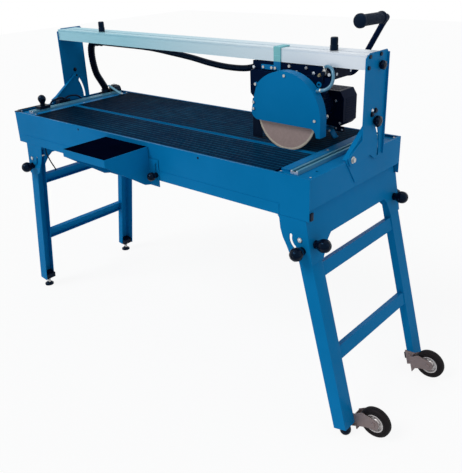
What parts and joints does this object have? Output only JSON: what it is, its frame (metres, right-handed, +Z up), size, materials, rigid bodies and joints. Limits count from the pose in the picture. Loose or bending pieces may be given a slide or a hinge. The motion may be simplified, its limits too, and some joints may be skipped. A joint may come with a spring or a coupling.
{
  "type": "bridge tile saw",
  "caption": "Wet tile cutter: a saw head on rollers slides along a tilting aluminium beam over a ribbed deck in a water tub on folding legs.",
  "frame": {"origin": "middle of the box's underside, on the floor", "axes": "+X along the tub towards the castors, +Y from the operator's front wall to the rear, +Z up"},
  "size_m": [1.9996, 0.8678, 1.3995],
  "materials": {
    "blue_paint": "satin powder coat",
    "dark_paint": "satin dark coat",
    "beam_alu": "anodised, drawn lengthways",
    "zinc_steel": "zinc plated",
    "fork_steel": "plain pressed steel",
    "blade_steel": "ground, copper tinted",
    "rubber_black": "ribbed, matt",
    "tyre_black": "matt",
    "knob_black": "glossy",
    "plastic_dark": "matt",
    "hose_clear": "flexible hose",
    "conduit_grey": "corrugated, matt"
  },
  "bodies": {
    "tub": {"water_tub": "blue_paint", "side_rails": "blue_paint", "leg_brackets": "blue_paint", "deck_panels": "blue_paint", "deck_mats": "rubber_black", "deck_supports": "zinc_steel", "tilt_quadrants": "blue_paint", "fence_rails": "beam_alu", "end_covers": "blue_paint", "drain_plug": "plastic_dark", "water_pump": "plastic_dark", "cable_entry": "plastic_dark", "pivot_bolts": "zinc_steel", "conduit_rise": "conduit_grey", "stay_lead": "conduit_grey"},
    "bridge": {"post_right": "blue_paint", "post_left": "blue_paint", "rail_beam": "beam_alu", "beam_fittings": "plastic_dark", "conduit_run": "conduit_grey"},
    "left_stop": {"stop_left": "plastic_dark"},
    "right_stop": {"stop_right": "plastic_dark"},
    "carriage": {"carriage_body": "dark_paint", "front_strap": "blue_paint", "motor_plate": "dark_paint", "motor_housing": "dark_paint", "motor_cover": "plastic_dark", "blade_guard": "blue_paint", "water_valve": "zinc_steel", "water_hose": "hose_clear", "handle_bar": "dark_paint", "handle_grip": "rubber_black", "head_bolts": "zinc_steel"},
    "rail_roller_left": {"roller_left": "zinc_steel"},
    "rail_roller_right": {"roller_right": "zinc_steel"},
    "blade": {"saw_blade": "blade_steel", "blade_flanges": "zinc_steel", "motor_shaft": "zinc_steel"},
    "lever": {"valve_lever": "plastic_dark"},
    "left_legs": {"leg_frame_left": "blue_paint", "levelling_feet": "plastic_dark"},
    "right_legs": {"leg_frame_right": "blue_paint", "leg_glides": "plastic_dark", "castor_forks": "fork_steel"},
    "castor_front": {"wheel_front": "tyre_black"},
    "castor_rear": {"wheel_rear": "tyre_black"},
    "table": {"side_table": "blue_paint", "table_mat": "rubber_black"},
    "fence": {"fence_block": "plastic_dark"},
    "fence_clamp": {"fence_knob": "knob_black"},
    "table_clamp": {"table_knob": "knob_black"},
    "lock_front_right": {"leg_knob_front_right": "knob_black"},
    "lock_rear_right": {"leg_knob_rear_right": "knob_black"},
    "lock_front_left": {"leg_knob_front_left": "knob_black"},
    "lock_rear_left": {"leg_knob_rear_left": "knob_black"},
    "end_clamp_front": {"end_knob_front": "knob_black"},
    "end_clamp_rear": {"end_knob_rear": "knob_black"},
    "tilt_clamp_right": {"tilt_knob_right": "knob_black"},
    "tilt_clamp_left": {"tilt_knob_left": "knob_black"},
    "post_clamp": {"post_knob": "plastic_dark"}
  },
  "joints": [
    {"name": "bridge_tilt", "type": "hinge", "parent": "tub", "child": "bridge", "pos_m": [-0.12721, 0.01606, 0.944], "axis": [1, 0, 0], "range_deg": [0, 45], "deforming": ["conduit_rise"]},
    {"name": "stop_left_slide", "type": "slide", "parent": "bridge", "child": "left_stop", "axis": [1, 0, 0], "range_m": [-0.2, 0]},
    {"name": "stop_right_slide", "type": "slide", "parent": "bridge", "child": "right_stop", "axis": [1, 0, 0], "range_m": [0, 0.1]},
    {"name": "carriage_slide", "type": "slide", "parent": "bridge", "child": "carriage", "axis": [1, 0, 0], "range_m": [-0.985, 0.06], "deforming": ["conduit_run"]},
    {"name": "roller_left_roll", "type": "hinge", "parent": "carriage", "child": "rail_roller_left", "pos_m": [0.32879, 0.16806, 1.25], "axis": [0, 1, 0], "range_deg": [-4300, 300]},
    {"name": "roller_right_roll", "type": "hinge", "parent": "carriage", "child": "rail_roller_right", "pos_m": [0.54879, 0.16806, 1.25], "axis": [0, 1, 0], "range_deg": [-4300, 300]},
    {"name": "blade_spin", "type": "hinge", "parent": "carriage", "child": "blade", "pos_m": [0.43879, 0.01606, 1.059], "axis": [0, 1, 0], "continuous": true},
    {"name": "valve_turn", "type": "hinge", "parent": "carriage", "child": "lever", "pos_m": [0.55879, 0.05806, 1.206], "axis": [0, -1, 0], "range_deg": [0, 90]},
    {"name": "left_legs_fold", "type": "hinge", "parent": "tub", "child": "left_legs", "pos_m": [-0.87221, 0.07606, 0.729], "axis": [0, 1, 0], "range_deg": [-98.4, 0], "deforming": ["stay_lead"]},
    {"name": "right_legs_fold", "type": "hinge", "parent": "tub", "child": "right_legs", "pos_m": [0.66979, 0.07606, 0.729], "axis": [0, 1, 0], "range_deg": [0, 104.4]},
    {"name": "castor_front_roll", "type": "hinge", "parent": "right_legs", "child": "castor_front", "pos_m": [0.94179, -0.14012, 0.067], "axis": [0, 1, 0], "continuous": true},
    {"name": "castor_rear_roll", "type": "hinge", "parent": "right_legs", "child": "castor_rear", "pos_m": [0.94179, 0.29224, 0.067], "axis": [0, 1, 0], "continuous": true},
    {"name": "table_height", "type": "slide", "parent": "tub", "child": "table", "axis": [0, 0, 1], "range_m": [-0.04, 0.015]},
    {"name": "fence_slide", "type": "slide", "parent": "tub", "child": "fence", "axis": [0, 1, 0], "range_m": [-0.03, 0.385]},
    {"name": "fence_knob_turn", "type": "hinge", "parent": "fence", "child": "fence_clamp", "pos_m": [-0.87421, -0.12194, 0.9603], "axis": [0, 0, 1], "range_deg": [0, 270]},
    {"name": "table_knob_turn", "type": "hinge", "parent": "tub", "child": "table_clamp", "pos_m": [0.00279, -0.22624, 0.82], "axis": [0, -1, 0], "range_deg": [0, 270]},
    {"name": "lock_front_right_turn", "type": "hinge", "parent": "right_legs", "child": "lock_front_right", "pos_m": [0.67924, -0.22374, 0.69219], "axis": [0, -1, 0], "range_deg": [0, 270]},
    {"name": "lock_rear_right_turn", "type": "hinge", "parent": "right_legs", "child": "lock_rear_right", "pos_m": [0.67924, 0.37586, 0.69219], "axis": [0, 1, 0], "range_deg": [0, 270]},
    {"name": "lock_front_left_turn", "type": "hinge", "parent": "left_legs", "child": "lock_front_left", "pos_m": [-0.87776, -0.22374, 0.69141], "axis": [0, -1, 0], "range_deg": [0, 270]},
    {"name": "lock_rear_left_turn", "type": "hinge", "parent": "left_legs", "child": "lock_rear_left", "pos_m": [-0.87776, 0.37586, 0.69141], "axis": [0, 1, 0], "range_deg": [0, 270]},
    {"name": "end_clamp_front_turn", "type": "hinge", "parent": "tub", "child": "end_clamp_front", "pos_m": [0.70458, -0.18994, 0.708], "axis": [0.9836, 0, 0.1805], "range_deg": [0, 270]},
    {"name": "end_clamp_rear_turn", "type": "hinge", "parent": "tub", "child": "end_clamp_rear", "pos_m": [0.70458, 0.34206, 0.708], "axis": [0.9836, 0, 0.1805], "range_deg": [0, 270]},
    {"name": "tilt_clamp_right_turn", "type": "hinge", "parent": "tub", "child": "tilt_clamp_right", "pos_m": [0.71169, 0.14923, 1.04805], "axis": [1, 0, 0], "range_deg": [0, 270]},
    {"name": "tilt_clamp_left_turn", "type": "hinge", "parent": "tub", "child": "tilt_clamp_left", "pos_m": [-0.96611, 0.14923, 1.04805], "axis": [-1, 0, 0], "range_deg": [0, 270]},
    {"name": "post_clamp_turn", "type": "hinge", "parent": "bridge", "child": "post_clamp", "pos_m": [0.71169, 0.16506, 1.232], "axis": [1, 0, 0], "range_deg": [0, 270]}
  ],
  "couplings": [
    {"joint": "roller_left_roll", "follows": "carriage_slide", "rad_per_m": 72.993},
    {"joint": "roller_right_roll", "follows": "carriage_slide", "rad_per_m": 72.993}
  ]
}
